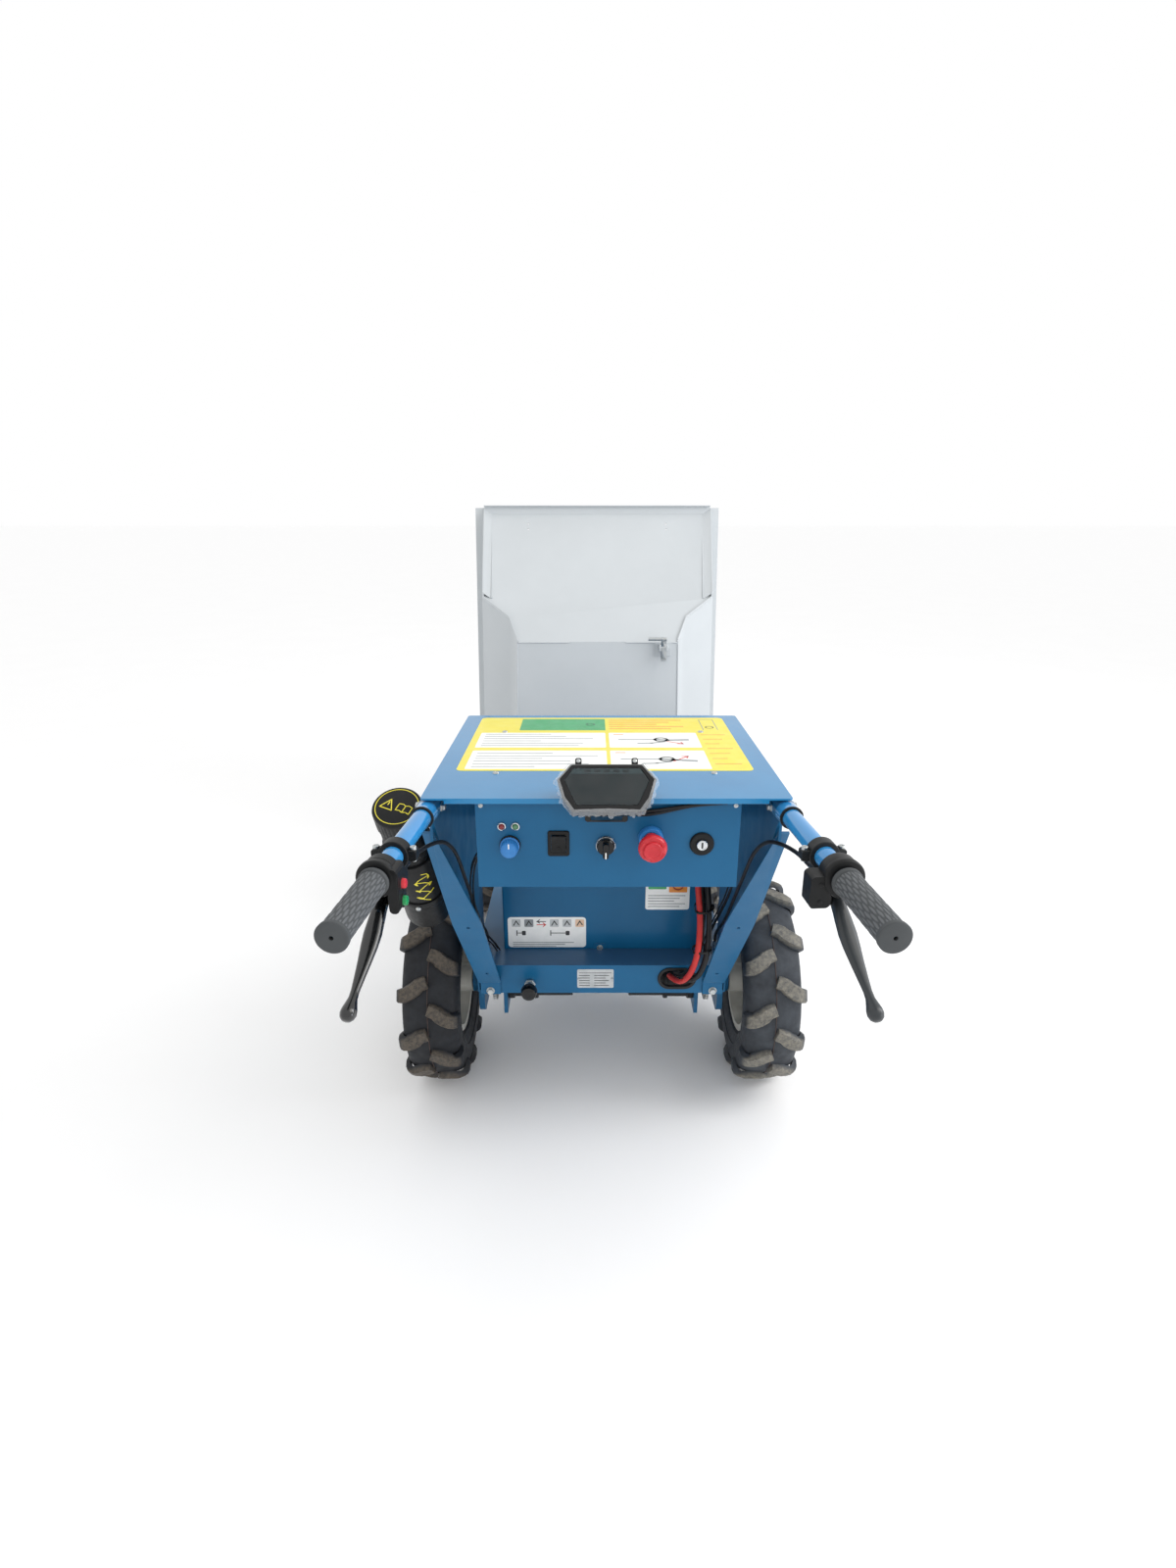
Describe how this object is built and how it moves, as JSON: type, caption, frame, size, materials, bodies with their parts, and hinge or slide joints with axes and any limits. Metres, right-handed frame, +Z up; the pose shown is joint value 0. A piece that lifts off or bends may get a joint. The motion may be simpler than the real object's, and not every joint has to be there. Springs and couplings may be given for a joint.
{
  "type": "power wheelbarrow",
  "caption": "Battery-driven walk-behind wheelbarrow with a tipping steel skip, lugged tyres, a control console and two handles.",
  "frame": {"origin": "centre of the whole machine's box on the ground, skip tipped", "axes": "+Z up, +Y the way it drives, +X to the operator's right"},
  "size_m": [0.838, 2.0032, 1.175],
  "materials": {
    "blue_paint": "powder-coated sheet steel, blue",
    "skip_paint": "powder-coated sheet steel, pale grey",
    "handle_paint": "gloss blue tube",
    "rim_paint": "stove-enamelled pressed steel",
    "tyre_rubber": "worn agricultural tread",
    "zinc_steel": "bright zinc plated",
    "motor_paint": "satin black",
    "black_plastic": "moulded, fine grained",
    "battery_case": "moulded case",
    "grip_rubber": "moulded with a relief pattern",
    "stop_rubber": "moulded",
    "lever_paint": "black enamelled alloy",
    "screen": "dark window",
    "red_plastic": "moulded",
    "green_plastic": "moulded",
    "blue_plastic": "moulded",
    "cable_black": "sheathed",
    "cable_red": "sheathed",
    "controller_case": "finned extrusion"
  },
  "bodies": {
    "chassis": {"battery_box": "blue_paint", "battery_pack": "battery_case", "black_cables": "cable_black", "brace_left": "blue_paint", "brace_right": "blue_paint", "brake_perches": "lever_paint", "canister": "black_plastic", "console_front": "blue_paint", "console_side_left": "blue_paint", "console_side_right": "blue_paint", "control_panel": "blue_paint", "deck_plate": "blue_paint", "display_lens": "screen", "display_unit": "black_plastic", "drive_chains": "zinc_steel", "fasteners": "zinc_steel", "frame_brackets": "blue_paint", "frame_rail_left": "blue_paint", "frame_rail_right": "blue_paint", "gearmotors": "motor_paint", "grip_left": "grip_rubber", "handle_tube_left": "handle_paint", "handle_tube_right": "handle_paint", "motor_controller": "controller_case", "panel_bezels": "zinc_steel", "pivot_shaft": "zinc_steel", "rear_plate": "blue_paint", "red_cable": "cable_red", "rubber_parts": "stop_rubber", "switch_pod": "black_plastic", "throttle_housing": "black_plastic", "top_cover": "blue_paint"},
    "skip": {"skip_floor": "skip_paint", "skip_side_left": "skip_paint", "skip_side_right": "skip_paint", "skip_rear_wall": "skip_paint", "skip_front_wall": "skip_paint"},
    "latch": {"latch_lever": "zinc_steel"},
    "brake_lever_left": {"brake_lever_left": "lever_paint"},
    "brake_lever_right": {"brake_lever_right": "lever_paint"},
    "throttle": {"throttle_grip": "grip_rubber"},
    "red_button": {"red_button": "red_plastic"},
    "green_button": {"green_button": "green_plastic"},
    "speed_knob": {"speed_knob": "blue_plastic"},
    "rocker": {"rocker_switch": "black_plastic"},
    "selector": {"selector_knob": "black_plastic"},
    "emergency_stop": {"estop_button": "red_plastic"},
    "key": {"key_barrel": "zinc_steel"},
    "gear_knob": {"gear_knob": "black_plastic"},
    "cap": {"canister_cap": "black_plastic"},
    "park_lock": {"park_lock": "zinc_steel"},
    "wheel_rear_left": {"tyre_rear_left": "tyre_rubber", "wheel_rear_left": "rim_paint"},
    "wheel_rear_right": {"tyre_rear_right": "tyre_rubber", "wheel_rear_right": "rim_paint"},
    "wheel_front_left": {"tyre_front_left": "tyre_rubber", "wheel_front_left": "rim_paint"},
    "wheel_front_right": {"tyre_front_right": "tyre_rubber", "wheel_front_right": "rim_paint"}
  },
  "joints": [
    {"name": "skip_tip", "type": "hinge", "parent": "chassis", "child": "skip", "pos_m": [0, 0.63908, 0.36], "axis": [1, 0, 0], "range_deg": [0, 90]},
    {"name": "latch_turn", "type": "hinge", "parent": "skip", "child": "latch", "pos_m": [0.195, 0.65108, 0.776], "axis": [-1, 0, 0], "range_deg": [0, 28], "stiffness_Nm_per_rad": 0.6, "springref_deg": -22.92},
    {"name": "rear_roll_left", "type": "hinge", "parent": "chassis", "child": "wheel_rear_left", "pos_m": [-0.335, -0.21092, 0.2075], "axis": [-1, 0, 0], "continuous": true},
    {"name": "front_roll_left", "type": "hinge", "parent": "chassis", "child": "wheel_front_left", "pos_m": [-0.335, 0.50908, 0.2075], "axis": [-1, 0, 0], "continuous": true},
    {"name": "brake_left", "type": "hinge", "parent": "chassis", "child": "brake_lever_left", "pos_m": [-0.26705, -0.8462, 0.73], "axis": [-0.997, 0.0774, 0], "range_deg": [0, 19], "stiffness_Nm_per_rad": 1.5, "springref_deg": -17.19},
    {"name": "rear_roll_right", "type": "hinge", "parent": "chassis", "child": "wheel_rear_right", "pos_m": [0.335, -0.21092, 0.2075], "axis": [-1, 0, 0], "continuous": true},
    {"name": "front_roll_right", "type": "hinge", "parent": "chassis", "child": "wheel_front_right", "pos_m": [0.335, 0.50908, 0.2075], "axis": [-1, 0, 0], "continuous": true},
    {"name": "brake_right", "type": "hinge", "parent": "chassis", "child": "brake_lever_right", "pos_m": [0.26705, -0.8462, 0.73], "axis": [-0.997, -0.0774, 0], "range_deg": [0, 19], "stiffness_Nm_per_rad": 1.5, "springref_deg": -17.19},
    {"name": "throttle_twist", "type": "hinge", "parent": "chassis", "child": "throttle", "pos_m": [0.2673, -0.87527, 0.765], "axis": [0.0774, -0.997, 0], "range_deg": [0, 70], "stiffness_Nm_per_rad": 0.4, "springref_deg": -11.46},
    {"name": "red_button_press", "type": "slide", "parent": "chassis", "child": "red_button", "axis": [-0.997, 0.0774, 0], "range_m": [0, 0.0025], "stiffness_N_per_m": 400, "springref_m": -0.002},
    {"name": "green_button_press", "type": "slide", "parent": "chassis", "child": "green_button", "axis": [-0.997, 0.0774, 0], "range_m": [0, 0.0025], "stiffness_N_per_m": 400, "springref_m": -0.002},
    {"name": "speed_turn", "type": "hinge", "parent": "chassis", "child": "speed_knob", "pos_m": [-0.1365, -0.65192, 0.712], "axis": [0, -1, 0], "range_deg": [-135, 135]},
    {"name": "rocker_tilt", "type": "hinge", "parent": "chassis", "child": "rocker", "pos_m": [-0.0676, -0.65192, 0.7145], "axis": [1, 0, 0], "range_deg": [-8, 8]},
    {"name": "selector_turn", "type": "hinge", "parent": "chassis", "child": "selector", "pos_m": [-0.0007, -0.65192, 0.712], "axis": [0, -1, 0], "range_deg": [-45, 45]},
    {"name": "emergency_stop_press", "type": "slide", "parent": "chassis", "child": "emergency_stop", "axis": [0, 1, 0], "range_m": [0, 0.006], "stiffness_N_per_m": 900, "springref_m": -0.003},
    {"name": "key_turn", "type": "hinge", "parent": "chassis", "child": "key", "pos_m": [0.1358, -0.65192, 0.714], "axis": [0, -1, 0], "range_deg": [0, 90]},
    {"name": "gear_slide", "type": "slide", "parent": "chassis", "child": "gear_knob", "axis": [0, -1, 0], "range_m": [0, 0.02]},
    {"name": "cap_pull", "type": "slide", "parent": "chassis", "child": "cap", "axis": [0, -0.5299, 0.848], "range_m": [0, 0.06]},
    {"name": "park_lock_turn", "type": "hinge", "parent": "chassis", "child": "park_lock", "pos_m": [0.25016, -0.81341, 0.725], "axis": [-0.997, -0.0774, 0], "range_deg": [0, 60]}
  ],
  "couplings": [
    {"joint": "front_roll_left", "follows": "rear_roll_left", "ratio": 1},
    {"joint": "front_roll_right", "follows": "rear_roll_right", "ratio": 1}
  ]
}
